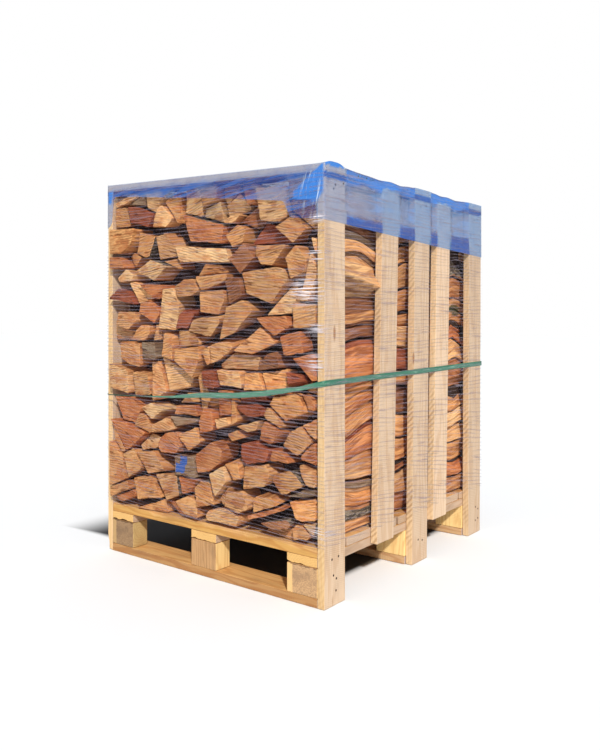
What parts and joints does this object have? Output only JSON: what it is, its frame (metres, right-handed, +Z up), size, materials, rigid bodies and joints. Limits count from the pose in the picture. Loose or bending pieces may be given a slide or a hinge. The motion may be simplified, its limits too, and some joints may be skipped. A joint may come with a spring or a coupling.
{
  "type": "pallet of firewood",
  "caption": "Split firewood stacked in rows on a block pallet, between upright boards, with a strap, a blue cover sheet and stretch film.",
  "frame": {"origin": "centre of the footprint, on the ground", "axes": "+Z up; the log ends face -Y, the front, and +Y; the upright boards of the right side face +X"},
  "size_m": [0.8491, 1.0474, 1.1857],
  "materials": {
    "pallet_board": "rough sawn softwood, yellow-brown",
    "pallet_block": "rough weathered softwood, grey-brown",
    "crate_board": "sawn softwood, pale cream",
    "firewood": "split and sawn firewood with some bark",
    "strap": "embossed green strapping",
    "blue_sheet": "thin translucent blue sheet",
    "clear_film": "clear stretch film, wrinkled"
  },
  "bodies": {
    "root": {"bottom_board_front": "pallet_board", "bottom_board_middle": "pallet_board", "bottom_board_back": "pallet_board", "block_front_left": "pallet_block", "block_front_middle": "pallet_block", "block_front_right": "pallet_block", "block_middle_left": "pallet_block", "block_middle_middle": "pallet_block", "block_middle_right": "pallet_block", "block_back_left": "pallet_block", "block_back_middle": "pallet_block", "block_back_right": "pallet_block", "stringer_left": "pallet_board", "stringer_middle": "pallet_board", "stringer_right": "pallet_board", "deck_board_1": "pallet_board", "deck_board_2": "pallet_board", "deck_board_3": "pallet_board", "deck_board_4": "pallet_board", "deck_board_5": "pallet_board", "deck_board_6": "pallet_board", "deck_board_7": "pallet_board", "post_right_front": "crate_board", "post_right_middle": "crate_board", "post_right_back": "crate_board", "post_left_front": "crate_board", "post_left_middle": "crate_board", "post_left_back": "crate_board", "slat_right_front": "crate_board", "slat_right_back": "crate_board", "slat_left_front": "crate_board", "slat_left_back": "crate_board", "top_rail_right": "crate_board", "top_rail_left": "crate_board", "top_board_front": "crate_board", "top_board_middle": "crate_board", "top_board_back": "crate_board", "firewood_row_front": "firewood", "firewood_row_middle": "firewood", "firewood_row_back": "firewood", "green_strap": "strap", "blue_cover": "blue_sheet", "stretch_film": "clear_film"}
  },
  "joints": []
}
